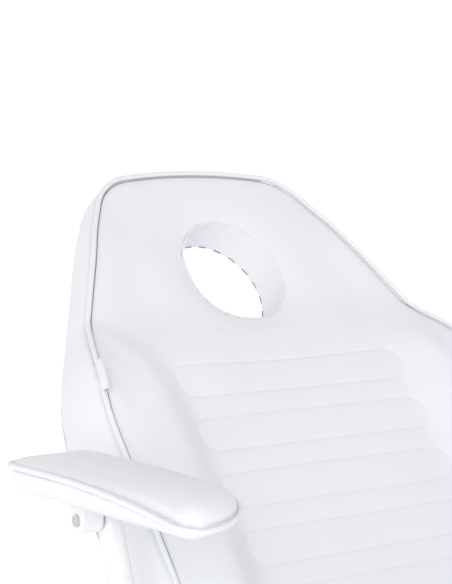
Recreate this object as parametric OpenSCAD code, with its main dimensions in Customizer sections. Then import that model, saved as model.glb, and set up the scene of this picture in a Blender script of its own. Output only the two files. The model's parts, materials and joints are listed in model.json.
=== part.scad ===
// Facial treatment bed: three padded sections on a hydraulic column.
// The origin is on the floor at the column's centre. +Y points to the head end, +X to the
// client's left and +Z up. All sizes are in millimetres and all angles in degrees.

/* [Cushions] */
// Half width of the back board at its widest
back_half_w = 286; // [270:1:300]
// Length of the back section, head end to lower end
back_len = 700; // [680:5:740]
// Half width of the back board at the head, before its corners are rounded
head_half_w = 131; // [120:1:145]
// Widening of each side of the head per millimetre towards the seat
head_taper = 0.484; // [0.4:0.01:0.55]
// Thickness of the head end, board and padding together
head_t = 56; // [50:1:65]
// Height of the ribbed panel above the head's face
panel_rise = 14; // [8:1:18]
// Height of the side bolsters above the head's face
bolster_rise = 46; // [36:1:50]
// Radius of the face hole
hole_r = 73; // [66:1:76]
// Distance from the head end to the centre of the face hole
hole_from_top = 141; // [130:1:150]
// Thickness of the plywood under each cushion
board_t = 12; // [9:1:18]
// Length of the seat cushion
seat_len = 513; // [500:1:520]
// Length of the leg cushion
leg_len = 520; // [450:5:560]
// Half width of the leg cushion at its foot end
foot_half_w = 230; // [200:5:280]
// Radius of the rounded upper edges where the sections meet
edge_r = 30; // [20:1:32]

/* [Pose as built] */
// Backrest angle above horizontal
back_angle = 52.5; // [0:0.5:70]
// Leg rest angle below horizontal
leg_angle = 30; // [0:0.5:75]

/* [Hinges] */
// Distance from the column's centre to the back hinge
back_hinge_y = 255; // [250:1:260]
// Height of the back hinge
back_hinge_z = 550; // [548:1:552]
// Distance from the column's centre to the leg hinge
leg_hinge_y = 300; // [298:1:302]
// Height of the leg hinge
leg_hinge_z = 536; // [534:1:538]
// Gap between the back hinge and the back cushion's lower end
back_gap = 15; // [14:1:18]
// Gap between the leg hinge and each cushion beside it
leg_gap = 13; // [12:1:15]
// Radius of the hinge pins
pin_r = 6; // [5:0.5:6]
// Radial clearance of a pin in its bore
fit_gap = 0.05; // [0.03:0.01:0.1]

/* [Frame] */
// Width and height of the seat frame's square tube
seat_tube = 30; // [25:1:32]
// Width and height of the back and leg frame's square tube
light_tube = 25; // [20:1:25]
// Wall of every frame tube
tube_wall = 2; // [1.5:0.1:3]
// Distance from the middle to the centre of a seat side rail
rail_x = 200; // [196:1:204]

/* [Column] */
// Radius of the round base plate
base_r = 310; // [280:5:340]
// Thickness of the base plate
base_t = 14; // [12:1:16]
// Thickness of the rubber pad under the base plate
foot_t = 4; // [3:1:6]
// Radius of the pump body
pump_r = 58; // [50:1:62]
// Height of the pump body's top
pump_top = 335; // [320:1:350]
// Radius of the chromed ram
ram_r = 24; // [20:1:26]

/* [Armrests] */
// Distance from the middle to the centre of an arm pad
arm_x = 382; // [378:1:388]
// Width of an arm pad
arm_w = 112; // [100:1:114]
// Length of an arm pad
arm_len = 286; // [275:1:300]
// Thickness of an arm pad
arm_t = 41; // [36:1:46]
// Height of an arm pad's middle
arm_z = 852.5; // [848:0.5:860]
// Distance from the column's centre to an arm pad's rear end
arm_rear_y = 371; // [365:1:375]

/* [Gas springs] */
// Distance from the middle to each gas spring
spring_x = 110; // [105:1:115]
// Radius of a gas spring's tube
spring_r = 11; // [9:0.5:11]
// Length of a gas spring's tube
spring_tube = 225; // [215:1:228]
// Radius of a gas spring's rod
rod_r = 5; // [4:0.5:5]

/* [Hidden] */

$fn = 64;
small_fn = 32;

// Radius of a cushion screw's shank
screw_r = 2.5;

// Heights above a section's own hinge
panel_top = 50;
face_z = panel_top - panel_rise;
board_z = face_z - head_t;
pad_z = board_z + board_t;
leg_top = back_hinge_z + panel_top - leg_hinge_z;
leg_board_z = back_hinge_z + board_z - leg_hinge_z;

// Seat levels and ends
seat_board_z = back_hinge_z + board_z;
seat_front_y = leg_gap - leg_hinge_y;
seat_rear_y = seat_front_y + seat_len;
seat_rail_z = seat_board_z - seat_tube;
head_y = back_gap + back_len;

// Face hole and panel stations, measured from the back hinge
hole_y = head_y - hole_from_top;
ramp_y = head_y - 225;
bolster_y = head_y - 305;
bolster_end_y = back_gap + 120;
trough_half_w = 172;
trough_top_half_w = 226;

// Gas springs: pivot on the seat frame, lean, built length and end slot
spring_seat_y = 60;
spring_seat_z = 440;
back_spring_lean = 9.6;
back_spring_len = 341.6;
leg_spring_lean = 6.6;
leg_spring_len = 377;
spring_pin_r = 4;
spring_slot_half = 11.5;
spring_slot_r = 5.5;
back_pin_at = [-30, -52];
leg_pin_at = [-42.4, -42.4];

// Column levels
pump_base_z = foot_t + base_t;
collar_t = 28;
hub_low_z = 438;
top_plate_t = 8;
top_plate_z = seat_rail_z - top_plate_t;
top_plate_half = 88;
ram_low_z = 60;
ram_top_z = top_plate_z - 20;

// Armrest pivot
arm_pivot_y = 300;
arm_pivot_z = 812;
arm_foot_y = 195;
post_x = 366;
post_r = 12.5;
knuckle_r = 13;
knuckle_len = 22;
knuckle_x = post_x + knuckle_len + 3;

// Points of an arc of radius r about c, from angle a to angle b
function arc(c, r, a, b, n = 10) =
    [for (i = [0:n]) let (t = a + (b - a) * i / n) [c[0] + r * cos(t), c[1] + r * sin(t)]];

// Unit vector from p to q
function toward(p, q) = (q - p) / norm(q - p);

// Corner p[i] of an outline rounded to radius r[i]
function round_corner(p, r, i) =
    let (
        n = len(p),
        here = p[i],
        back = toward(here, p[(i + n - 1) % n]),
        ahead = toward(here, p[(i + 1) % n]),
        half = acos(back * ahead) / 2,
        middle = toward([0, 0], back + ahead),
        centre = here + middle * r[i] / sin(half),
        from = here + back * r[i] / tan(half) - centre,
        to = here + ahead * r[i] / tan(half) - centre,
        a = atan2(from[1], from[0]),
        raw = atan2(to[1], to[0]) - a,
        turn = raw > 180 ? raw - 360 : raw < -180 ? raw + 360 : raw
    )
    r[i] == 0 ? [here] : arc(centre, r[i], a, a + turn, max(3, ceil(abs(turn) / 9)));

// Outline with every corner rounded to its own radius
function rounded(p, r) = [for (i = [0:len(p) - 1]) for (q = round_corner(p, r, i)) q];

// Right half of the back's outline, head end first, in the back's flat frame
shoulder_y = head_y - (back_half_w - head_half_w) / head_taper;
crown = 0.00069;
crown_half = 120;
head_corner = [head_half_w + head_taper * 13, head_y - 13];
back_outline = rounded(
    [
        [-back_half_w, back_gap],
        [back_half_w, back_gap],
        [back_half_w, shoulder_y],
        head_corner,
        for (u = [crown_half - 20:-20:20 - crown_half]) [u, head_y - crown * u * u],
        [-head_corner[0], head_corner[1]],
        [-back_half_w, shoulder_y]
    ],
    [
        45, 45, 240, 52,
        for (u = [crown_half - 20:-20:20 - crown_half]) 0,
        52, 240
    ]
);

// The back's side profile: face, ramp to the bolsters and rounded lower end
back_profile = rounded(
    [
        [back_gap, pad_z],
        [head_y, pad_z],
        [head_y, face_z],
        [ramp_y, face_z],
        [bolster_y, face_z + bolster_rise],
        [bolster_end_y, face_z + bolster_rise],
        [back_gap + edge_r + 12, panel_top],
        [back_gap, panel_top]
    ],
    [0, 0, 12, 60, 60, 60, 0, edge_r]
);

// Placing in the back's, the leg rest's and the arms' own frames
module at_back() {
    translate([0, back_hinge_y, back_hinge_z])
        rotate([back_angle, 0, 0])
            children();
}

module at_leg() {
    translate([0, -leg_hinge_y, leg_hinge_z])
        rotate([leg_angle, 0, 0])
            children();
}

// Rectangular tube with closed ends, centred in X, along Y from y0 to y1, standing on z0
module tube_y(x, y0, y1, z0, size) {
    translate([x, (y0 + y1) / 2, z0 + size / 2])
        difference() {
            cube([size, y1 - y0, size], center = true);
            cube([size - 2 * tube_wall, y1 - y0 - 2 * tube_wall, size - 2 * tube_wall], center = true);
        }
}

// Rectangular tube with closed ends, along X between two inner faces, centred at y
module tube_x(half, y, z0, size) {
    translate([0, y, z0 + size / 2])
        difference() {
            cube([2 * half, size, size], center = true);
            cube([2 * half - 2 * tube_wall, size - 2 * tube_wall, size - 2 * tube_wall], center = true);
        }
}

// Plate in the Y-Z plane between x0 and x1 from an outline of [y, z] points
module side_plate(x0, x1, outline) {
    translate([x0, 0, 0])
        rotate([90, 0, 90])
            linear_extrude(x1 - x0)
                polygon(outline);
}

// Rod along X between x0 and x1 at [y, z]
module bar_x(x0, x1, at, r) {
    translate([x0, at[0], at[1]])
        rotate([0, 90, 0])
            cylinder(h = x1 - x0, r = r, $fn = small_fn);
}

// Block with a side profile, cut to a plan outline
module cushion_block(profile, outline, half_w, low, high) {
    intersection() {
        side_plate(-half_w - 1, half_w + 1, profile);
        translate([0, 0, low])
            linear_extrude(high - low)
                polygon(outline);
    }
}

// Cushion screws at each [x, y] point: the head is under a rail, the shank goes through the
// rail and into the board, whose underside is at z
module screws(points, z, rail) {
    for (at = points) {
        translate([at[0], at[1], z - rail - 3]) {
            cylinder(h = 3, r = 7, $fn = small_fn);
            cylinder(h = 3 + rail + board_t - 2, r = screw_r, $fn = small_fn);
        }
    }
}

// Holes for those screws, through the rail and into the board
module screw_holes(points, z, rail) {
    for (at = points) {
        translate([at[0], at[1], z - rail - 1])
            cylinder(h = rail + board_t - 1, r = screw_r, $fn = small_fn);
    }
}

// Base and column

module base_plate() {
    color("gainsboro")
        translate([0, 0, foot_t]) {
            cylinder(h = base_t - 4, r = base_r, $fn = 128);
            translate([0, 0, base_t - 4])
                cylinder(h = 4, r1 = base_r, r2 = base_r - 4, $fn = 128);
        }
}

module base_foot_pad() {
    color("dimgray")
        cylinder(h = foot_t, r = base_r - 8, $fn = 128);
}

pump_flange_r = 92;
pump_flange_t = 10;
pump_bolt_ring = 76;
pump_bolt_count = 6;

module pump_body() {
    color("whitesmoke")
        difference() {
            union() {
                translate([0, 0, pump_base_z])
                    cylinder(h = pump_flange_t, r = pump_flange_r);
                translate([0, 0, pump_base_z])
                    cylinder(h = pump_top - pump_base_z, r = pump_r);
            }
            translate([0, 0, ram_low_z - 20])
                cylinder(h = pump_top, r = ram_r + 0.1);
            for (i = [0:pump_bolt_count - 1]) {
                rotate([0, 0, (i + 0.5) * 360 / pump_bolt_count])
                    translate([pump_bolt_ring, 0, pump_base_z - 1])
                        cylinder(h = pump_flange_t + 2, r = 5, $fn = small_fn);
            }
        }
}

module pump_bolts() {
    color("silver")
        for (i = [0:pump_bolt_count - 1]) {
            rotate([0, 0, (i + 0.5) * 360 / pump_bolt_count])
                translate([pump_bolt_ring, 0, pump_base_z]) {
                    cylinder(h = pump_flange_t, r = 5, $fn = small_fn);
                    translate([0, 0, pump_flange_t])
                        cylinder(h = 6, r = 8, $fn = 6);
                }
        }
}

module pump_collar() {
    color("silver")
        difference() {
            union() {
                translate([0, 0, pump_top])
                    cylinder(h = collar_t - 6, r = 44);
                translate([0, 0, pump_top + collar_t - 6])
                    cylinder(h = 6, r1 = 44, r2 = 38);
            }
            translate([0, 0, pump_top - 1])
                cylinder(h = collar_t + 2, r = ram_r + 0.1);
        }
}

pedal_pivot = [78, 92];
pedal_reach = 345;
pedal_half_gap = 10.5;

module pedal_bracket() {
    color("whitesmoke")
        for (side = [-1, 1]) {
            difference() {
                translate([side * (pedal_half_gap + 3) - 3, pump_r - 2, pedal_pivot[1] - 16])
                    cube([6, 40, 32]);
                cylinder(h = pump_top, r = pump_r);
                bar_x(-40, 40, pedal_pivot, pin_r + fit_gap);
            }
        }
}

module pedal_pin() {
    color("silver")
        bar_x(-22, 22, pedal_pivot, pin_r);
}

module pedal_arm() {
    color("silver")
        difference() {
            union() {
                bar_x(-10, 10, pedal_pivot, 13);
                translate([-7, pedal_pivot[0], pedal_pivot[1] - 6])
                    cube([14, pedal_reach - pedal_pivot[0] - 30, 12]);
                translate([-32, pedal_reach - 45, pedal_pivot[1] - 4])
                    cube([64, 45, 6]);
            }
            bar_x(-40, 40, pedal_pivot, pin_r + fit_gap);
        }
}

module pedal_pad() {
    color("dimgray")
        translate([-36, pedal_reach - 47, pedal_pivot[1] + 6])
            cube([72, 49, 7]);
}

module ram() {
    color("silver")
        translate([0, 0, ram_low_z])
            cylinder(h = ram_top_z - ram_low_z, r = ram_r);
}

lock_z = 458;

module swivel_hub() {
    color("whitesmoke")
        difference() {
            union() {
                translate([0, 0, hub_low_z])
                    cylinder(h = top_plate_z - hub_low_z, r = 38);
                translate([0, 0, top_plate_z - 8])
                    cylinder(h = 8, r1 = 38, r2 = 50);
            }
            translate([0, 0, hub_low_z - 1])
                cylinder(h = ram_top_z - hub_low_z + 1, r = ram_r + 0.1);
            bar_x(0, 60, [0, lock_z], 5 + fit_gap);
        }
}

module lock_lever() {
    color("silver") {
        bar_x(ram_r + 1, 56, [0, lock_z], 5);
        translate([44, 0, lock_z])
            rotate([100, 0, 0])
                cylinder(h = 74, r = 5, $fn = small_fn);
    }
}

module lock_knob() {
    color("dimgray")
        translate([44, 0, lock_z])
            rotate([100, 0, 0])
                translate([0, 0, 74]) {
                    cylinder(h = 8, r1 = 9, r2 = 13, $fn = small_fn);
                    translate([0, 0, 8])
                        cylinder(h = 14, r = 13, $fn = small_fn);
                    translate([0, 0, 22])
                        cylinder(h = 4, r1 = 13, r2 = 9, $fn = small_fn);
                }
}

bolt_x = 62;

module top_plate() {
    color("whitesmoke")
        difference() {
            translate([-top_plate_half, -top_plate_half, top_plate_z])
                cube([2 * top_plate_half, 2 * top_plate_half, top_plate_t]);
            for (x = [-bolt_x, bolt_x], y = [-spring_seat_y, spring_seat_y]) {
                translate([x, y, top_plate_z - 1])
                    cylinder(h = top_plate_t + 2, r = 5, $fn = small_fn);
            }
        }
}

module top_plate_bolts() {
    color("silver")
        for (x = [-bolt_x, bolt_x], y = [-spring_seat_y, spring_seat_y]) {
            translate([x, y, top_plate_z])
                cylinder(h = top_plate_t, r = 5, $fn = small_fn);
            translate([x, y, top_plate_z - 6])
                cylinder(h = 6, r = 8.5, $fn = 6);
        }
}

// Seat section

seat_rail_front_y = -262;
seat_rail_rear_y = 210;
seat_cross_y = [-215, 165];

// Each side rail carries the welded stud that a release lever turns on
release_at = [20, seat_rail_z + seat_tube / 2];
stud_r = 5;
stud_len = 23;
seat_screw_points = [for (x = [-rail_x, rail_x], y = [-240, 120]) [x, y]];

module seat_rail(side) {
    outer = side * (rail_x + seat_tube / 2);
    color("whitesmoke")
        difference() {
            union() {
                tube_y(side * rail_x, seat_rail_front_y, seat_rail_rear_y, seat_rail_z, seat_tube);
                bar_x(
                    min(outer, outer + side * stud_len), max(outer, outer + side * stud_len),
                    release_at, stud_r
                );
            }
            screw_holes(seat_screw_points, seat_board_z, seat_tube);
        }
}

module seat_cross_rails() {
    color("whitesmoke")
        for (y = seat_cross_y) {
            tube_x(rail_x - seat_tube / 2, y, seat_rail_z, seat_tube);
        }
}

module seat_mount_rails() {
    color("whitesmoke")
        for (y = [-spring_seat_y, spring_seat_y]) {
            tube_x(rail_x - seat_tube / 2, y, seat_rail_z, seat_tube);
        }
}

seat_outline = rounded(
    [
        [-back_half_w, seat_front_y],
        [back_half_w, seat_front_y],
        [back_half_w, seat_rear_y],
        [-back_half_w, seat_rear_y]
    ],
    [40, 40, 45, 45]
);

module seat_board() {
    color("burlywood")
        difference() {
            translate([0, 0, seat_board_z])
                linear_extrude(board_t)
                    polygon(seat_outline);
            screw_holes(seat_screw_points, seat_board_z, seat_tube);
        }
}

module seat_cushion() {
    color("white")
        cushion_block(
            rounded(
                [
                    [seat_front_y, seat_board_z + board_t],
                    [seat_rear_y, seat_board_z + board_t],
                    [seat_rear_y, back_hinge_z + panel_top],
                    [seat_front_y, back_hinge_z + panel_top]
                ],
                [0, 0, edge_r, edge_r]
            ),
            seat_outline, back_half_w, seat_board_z + board_t, back_hinge_z + panel_top
        );
}

module seat_screws() {
    color("silver")
        screws(seat_screw_points, seat_board_z, seat_tube);
}

// Hinge plates reach from a side rail to the pin's bore
plate_t = 6;
boss_r = 10;
lug_x = rail_x + seat_tube / 2 + plate_t / 2;
arm_plate_x = lug_x - plate_t - 1;
light_rail_x = arm_plate_x - plate_t / 2 - light_tube / 2;
hinge_pin_half = 14;

module hinge_plate(x, outline, pin_at) {
    difference() {
        union() {
            side_plate(x - plate_t / 2, x + plate_t / 2, outline);
            bar_x(x - plate_t / 2, x + plate_t / 2, pin_at, boss_r);
        }
        bar_x(x - plate_t, x + plate_t, pin_at, pin_r + fit_gap);
    }
}

module back_hinge_lugs() {
    color("whitesmoke")
        for (side = [-1, 1]) {
            hinge_plate(
                side * lug_x,
                [
                    [seat_rail_rear_y - 70, seat_rail_z],
                    [seat_rail_rear_y + 10, seat_rail_z],
                    [back_hinge_y + 9, back_hinge_z - 5],
                    [back_hinge_y - 3, back_hinge_z + 9],
                    [seat_rear_y + 8, seat_board_z - 1],
                    [seat_rail_rear_y - 70, seat_board_z - 1]
                ],
                [back_hinge_y, back_hinge_z]
            );
        }
}

module back_hinge_pins() {
    color("silver")
        for (side = [-1, 1]) {
            bar_x(
                side * lug_x - hinge_pin_half, side * lug_x + hinge_pin_half,
                [back_hinge_y, back_hinge_z], pin_r
            );
        }
}

module leg_hinge_lugs() {
    color("whitesmoke")
        for (side = [-1, 1]) {
            hinge_plate(
                side * lug_x,
                [
                    [-leg_hinge_y - 8, leg_hinge_z - 6],
                    [seat_rail_front_y - 12, seat_rail_z],
                    [seat_rail_front_y + 70, seat_rail_z],
                    [seat_rail_front_y + 70, seat_board_z - 1],
                    [seat_front_y - 3, seat_board_z - 1],
                    [-leg_hinge_y + 6, leg_hinge_z + 8]
                ],
                [-leg_hinge_y, leg_hinge_z]
            );
        }
}

module leg_hinge_pins() {
    color("silver")
        for (side = [-1, 1]) {
            bar_x(
                side * lug_x - hinge_pin_half, side * lug_x + hinge_pin_half,
                [-leg_hinge_y, leg_hinge_z], pin_r
            );
        }
}

// Back section, in its own flat frame

back_rail_y = [43, 420];
back_cross_y = [56, 240, 408];
back_screw_points = [for (x = [-light_rail_x, light_rail_x], y = [140, 360]) [x, y]];

module back_rail(side) {
    color("whitesmoke")
        at_back() {
            difference() {
                tube_y(
                    side * light_rail_x, back_rail_y[0], back_rail_y[1],
                    board_z - light_tube, light_tube
                );
                screw_holes(back_screw_points, board_z, light_tube);
            }
            hinge_plate(
                side * arm_plate_x,
                [
                    [-7, -8],
                    [30, board_z - light_tube],
                    [110, board_z - light_tube],
                    [110, board_z - 1],
                    [12, board_z - 1],
                    [9, 5]
                ],
                [0, 0]
            );
        }
}

module back_cross_rails() {
    color("whitesmoke")
        at_back()
            for (y = back_cross_y) {
                tube_x(light_rail_x - light_tube / 2, y, board_z - light_tube, light_tube);
            }
}

module back_board() {
    color("burlywood")
        at_back()
            difference() {
                translate([0, 0, board_z])
                    linear_extrude(board_t)
                        polygon(back_outline);
                translate([0, hole_y, board_z - 1])
                    cylinder(h = board_t + 2, r = hole_r);
                screw_holes(back_screw_points, board_z, light_tube);
            }
}

module back_cushion() {
    color("white")
        at_back()
            difference() {
                cushion_block(
                    back_profile, back_outline, back_half_w, pad_z, face_z + bolster_rise + 1
                );
                translate([0, hole_y, pad_z - 1])
                    cylinder(h = head_t, r = hole_r);
                trough();
            }
}

// The hollow between the side bolsters, down to the ribbed panel
module trough() {
    top = face_z + bolster_rise + 2;
    translate([0, ramp_y + 30, 0])
        rotate([90, 0, 0])
            linear_extrude(ramp_y + 30)
                polygon([
                    [-trough_half_w, panel_top],
                    [trough_half_w, panel_top],
                    [trough_top_half_w, top],
                    [-trough_top_half_w, top]
                ]);
}

module back_screws() {
    color("silver")
        at_back()
            screws(back_screw_points, board_z, light_tube);
}

tab_len = 36;
tab_t = 3;
tab_h = 11;

module loop_tab() {
    color("white")
        at_back()
            translate([-back_half_w + 5, bolster_y - 30, face_z + bolster_rise + 0.4])
                cube([tab_t, tab_len, tab_h]);
}

// Gas springs

// Frame of a gas spring: pivot at the seat end, X across, Y along the spring
module at_spring(x, y, lean, turned) {
    translate([x, y, spring_seat_z])
        rotate([0, 0, turned ? 180 : 0])
            rotate([lean, 0, 0])
                children();
}

ear_t = 5;
ear_gap = 1;
eye_half = 4;
ear_x = eye_half + ear_gap;
ear_r = 9;
tube_start = 14;
rod_hidden = 115;

// Bracket under a mount rail: foot plate, two ears and a riveted pin
module spring_bracket(x, y) {
    color("whitesmoke")
        translate([x, y, 0]) {
            translate([-ear_x - ear_t - 4, -15, seat_rail_z - 5])
                cube([2 * (ear_x + ear_t) + 8, 30, 5]);
            for (side = [-1, 1]) {
                inner = side > 0 ? ear_x : -ear_x - ear_t;
                bar_x(inner, inner + ear_t, [0, spring_seat_z], ear_r);
                translate([inner, -ear_r, spring_seat_z])
                    cube([ear_t, 2 * ear_r, seat_rail_z - spring_seat_z - 5]);
            }
            bar_x(-ear_x - ear_t - 2, ear_x + ear_t + 2, [0, spring_seat_z], spring_pin_r);
        }
}

// Tube with its eye at the seat end and a gland that the rod runs through
module spring_tube_solid() {
    difference() {
        union() {
            bar_x(-eye_half, eye_half, [0, 0], ear_r);
            translate([-eye_half, 0, -5])
                cube([2 * eye_half, tube_start + 2, 10]);
            translate([0, tube_start, 0])
                rotate([-90, 0, 0])
                    cylinder(h = spring_tube - tube_start, r = spring_r);
        }
        bar_x(-eye_half - 1, eye_half + 1, [0, 0], spring_pin_r + fit_gap);
        translate([0, tube_start + 4, 0])
            rotate([-90, 0, 0])
                cylinder(h = spring_tube - tube_start - 16, r = spring_r - 2);
        translate([0, tube_start + 4, 0])
            rotate([-90, 0, 0])
                cylinder(h = spring_tube, r = rod_r + fit_gap);
    }
}

// Rod with its piston and the slotted end that the far pin works in
module spring_rod_solid(len) {
    difference() {
        union() {
            translate([0, rod_hidden, 0])
                rotate([-90, 0, 0])
                    cylinder(h = len - rod_hidden - spring_slot_r - 2, r = rod_r);
            translate([0, rod_hidden, 0])
                rotate([-90, 0, 0])
                    cylinder(h = 12, r = spring_r - 2 - 0.1);
            for (side = [-1, 1]) {
                bar_x(-eye_half, eye_half, [len, side * 6], 12);
            }
            translate([-eye_half, len - 12, -6])
                cube([2 * eye_half, 24, 12]);
        }
        for (side = [-1, 1]) {
            bar_x(
                -eye_half - 3, eye_half + 3,
                [len, side * (spring_slot_half - spring_slot_r)], spring_slot_r
            );
        }
        translate([-eye_half - 3, len - spring_slot_r, spring_slot_r - spring_slot_half])
            cube([2 * eye_half + 6, 2 * spring_slot_r, 2 * (spring_slot_half - spring_slot_r)]);
    }
}

// Two ears on a cross rail that hold the pin in the rod's slot
module spring_lug(x, outline, pin_at) {
    for (side = [-1, 1]) {
        inner = side > 0 ? x + ear_x : x - ear_x - ear_t;
        difference() {
            union() {
                side_plate(inner, inner + ear_t, outline);
                bar_x(inner, inner + ear_t, pin_at, ear_r - 1);
            }
            bar_x(x - 20, x + 20, pin_at, spring_pin_r);
        }
    }
}

module spring_pin(x, pin_at) {
    bar_x(x - ear_x - ear_t - 2, x + ear_x + ear_t + 2, pin_at, spring_pin_r);
}

module back_spring_lug() {
    color("whitesmoke")
        at_back()
            spring_lug(
                spring_x,
                [
                    [-26, -59],
                    [10, -58],
                    [68, board_z - light_tube],
                    [43, board_z - light_tube],
                    [43, board_z - 3],
                    [-31, -45]
                ],
                back_pin_at
            );
}

module back_spring_pin() {
    color("silver")
        at_back()
            spring_pin(spring_x, back_pin_at);
}

module back_spring_bracket() {
    spring_bracket(spring_x, -spring_seat_y);
}

module back_spring_tube() {
    color("dimgray")
        at_spring(spring_x, -spring_seat_y, back_spring_lean, false)
            spring_tube_solid();
}

module back_spring_rod() {
    color("silver")
        at_spring(spring_x, -spring_seat_y, back_spring_lean, false)
            spring_rod_solid(back_spring_len);
}

module leg_spring_lug() {
    color("whitesmoke")
        at_leg()
            spring_lug(
                -spring_x,
                [
                    [-92.5, leg_board_z - light_tube],
                    [-50, -50],
                    [-36, -46],
                    [-38, -35],
                    [-67.5, leg_board_z - 10],
                    [-67.5, leg_board_z - light_tube]
                ],
                leg_pin_at
            );
}

module leg_spring_pin() {
    color("silver")
        at_leg()
            spring_pin(-spring_x, leg_pin_at);
}

module leg_spring_bracket() {
    spring_bracket(-spring_x, spring_seat_y);
}

module leg_spring_tube() {
    color("dimgray")
        at_spring(-spring_x, spring_seat_y, leg_spring_lean, true)
            spring_tube_solid();
}

module leg_spring_rod() {
    color("silver")
        at_spring(-spring_x, spring_seat_y, leg_spring_lean, true)
            spring_rod_solid(leg_spring_len);
}

// Leg rest, in its own flat frame with Y running back to the hinge

leg_rail_y = [-430, -45];
leg_cross_y = [-80, -250, -417];
leg_end_y = -leg_gap - leg_len;
leg_outline = rounded(
    [
        [-foot_half_w, leg_end_y],
        [foot_half_w, leg_end_y],
        [back_half_w, -leg_gap],
        [-back_half_w, -leg_gap]
    ],
    [70, 70, 40, 40]
);
leg_screw_points = [for (x = [-light_rail_x, light_rail_x], y = [-130, -360]) [x, y]];

module leg_rail(side) {
    color("whitesmoke")
        at_leg() {
            difference() {
                tube_y(
                    side * light_rail_x, leg_rail_y[0], leg_rail_y[1],
                    leg_board_z - light_tube, light_tube
                );
                screw_holes(leg_screw_points, leg_board_z, light_tube);
            }
            hinge_plate(
                side * arm_plate_x,
                [
                    [-8, 6],
                    [-11, leg_board_z - 1],
                    [-110, leg_board_z - 1],
                    [-110, leg_board_z - light_tube],
                    [-38, leg_board_z - light_tube],
                    [7, -8]
                ],
                [0, 0]
            );
        }
}

module leg_cross_rails() {
    color("whitesmoke")
        at_leg()
            for (y = leg_cross_y) {
                tube_x(light_rail_x - light_tube / 2, y, leg_board_z - light_tube, light_tube);
            }
}

module leg_board() {
    color("burlywood")
        at_leg()
            difference() {
                translate([0, 0, leg_board_z])
                    linear_extrude(board_t)
                        polygon(leg_outline);
                screw_holes(leg_screw_points, leg_board_z, light_tube);
            }
}

module leg_cushion() {
    color("white")
        at_leg()
            cushion_block(
                rounded(
                    [
                        [leg_end_y, leg_board_z + board_t],
                        [-leg_gap, leg_board_z + board_t],
                        [-leg_gap, leg_top],
                        [leg_end_y, leg_top]
                    ],
                    [0, 0, edge_r, edge_r]
                ),
                leg_outline, back_half_w, leg_board_z + board_t, leg_top
            );
}

module leg_screws() {
    color("silver")
        at_leg()
            screws(leg_screw_points, leg_board_z, light_tube);
}

// Armrests

module arm_post(side) {
    foot = side * (lug_x + plate_t / 2);
    foot_z = seat_rail_z + seat_tube / 2;
    rise = [arm_pivot_y - arm_foot_y, arm_pivot_z - foot_z];
    color("whitesmoke")
        difference() {
            union() {
                bar_x(min(foot, side * post_x), max(foot, side * post_x), [arm_foot_y, foot_z], post_r);
                translate([side * post_x, arm_foot_y, foot_z]) {
                    sphere(r = post_r);
                    rotate([-atan2(rise[0], rise[1]), 0, 0])
                        cylinder(h = norm(rise), r = post_r);
                }
                bar_x(
                    side * post_x - knuckle_len / 2, side * post_x + knuckle_len / 2,
                    [arm_pivot_y, arm_pivot_z], knuckle_r
                );
            }
            bar_x(
                side * post_x - knuckle_len, side * post_x + knuckle_len,
                [arm_pivot_y, arm_pivot_z], pin_r + fit_gap
            );
        }
}

module arm_pins() {
    color("silver")
        for (side = [-1, 1]) {
            middle = side * (post_x + knuckle_x) / 2;
            bar_x(
                middle - knuckle_len - 3, middle + knuckle_len + 3,
                [arm_pivot_y, arm_pivot_z], pin_r
            );
        }
}

bar_t = 6;
bar_w = 30;
bar_front_y = 125;
arm_low_z = arm_z - arm_t / 2;

module arm_carrier(side) {
    bar_z = arm_low_z - bar_t;
    color("whitesmoke")
        difference() {
            union() {
                bar_x(
                    side * knuckle_x - knuckle_len / 2, side * knuckle_x + knuckle_len / 2,
                    [arm_pivot_y, arm_pivot_z], knuckle_r
                );
                translate([side * knuckle_x - knuckle_len / 2, arm_pivot_y - knuckle_r, arm_pivot_z])
                    cube([knuckle_len, 2 * knuckle_r, bar_z - arm_pivot_z + 1]);
                translate([side * knuckle_x - bar_w / 2, bar_front_y, bar_z])
                    cube([bar_w, arm_pivot_y + 20 - bar_front_y, bar_t]);
            }
            bar_x(
                side * knuckle_x - knuckle_len, side * knuckle_x + knuckle_len,
                [arm_pivot_y, arm_pivot_z], pin_r + fit_gap
            );
        }
}

// The pad's top falls away over its front end
arm_front_y = arm_rear_y - arm_len;
arm_fall = 70;
arm_inner_corner = 88;
arm_outer_corner = 22;
arm_rear_corner = 16;

module arm_pad(side) {
    color("white")
        translate([side * arm_x, 0, 0])
            cushion_block(
                rounded(
                    [
                        [arm_front_y, arm_low_z],
                        [arm_rear_y, arm_low_z],
                        [arm_rear_y, arm_low_z + arm_t],
                        [arm_front_y + arm_fall, arm_low_z + arm_t],
                        [arm_front_y, arm_low_z + arm_t / 2]
                    ],
                    [10, 16, 16, 90, 10]
                ),
                rounded(
                    [
                        [-arm_w / 2, arm_front_y],
                        [arm_w / 2, arm_front_y],
                        [arm_w / 2, arm_rear_y],
                        [-arm_w / 2, arm_rear_y]
                    ],
                    [
                        side > 0 ? arm_inner_corner : arm_outer_corner,
                        side > 0 ? arm_outer_corner : arm_inner_corner,
                        arm_rear_corner, arm_rear_corner
                    ]
                ),
                arm_w / 2, arm_low_z, arm_low_z + arm_t
            );
}

// Release levers: a knuckle on the rail's stud, a flat arm and a grip

lever_arm = 85;
grip_len = 70;
lever_knuckle = 20;
lever_out = 15;

module release_lever(side) {
    near = rail_x + seat_tube / 2 + 1;
    color("silver")
        difference() {
            union() {
                bar_x(
                    min(side * near, side * (near + lever_knuckle)),
                    max(side * near, side * (near + lever_knuckle)), release_at, 12
                );
                translate([side * (near + lever_out) - 3, release_at[0] - lever_arm, release_at[1] - 7])
                    cube([6, lever_arm, 14]);
            }
            bar_x(side * near - 30, side * near + 30, release_at, stud_r + fit_gap);
        }
}

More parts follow.
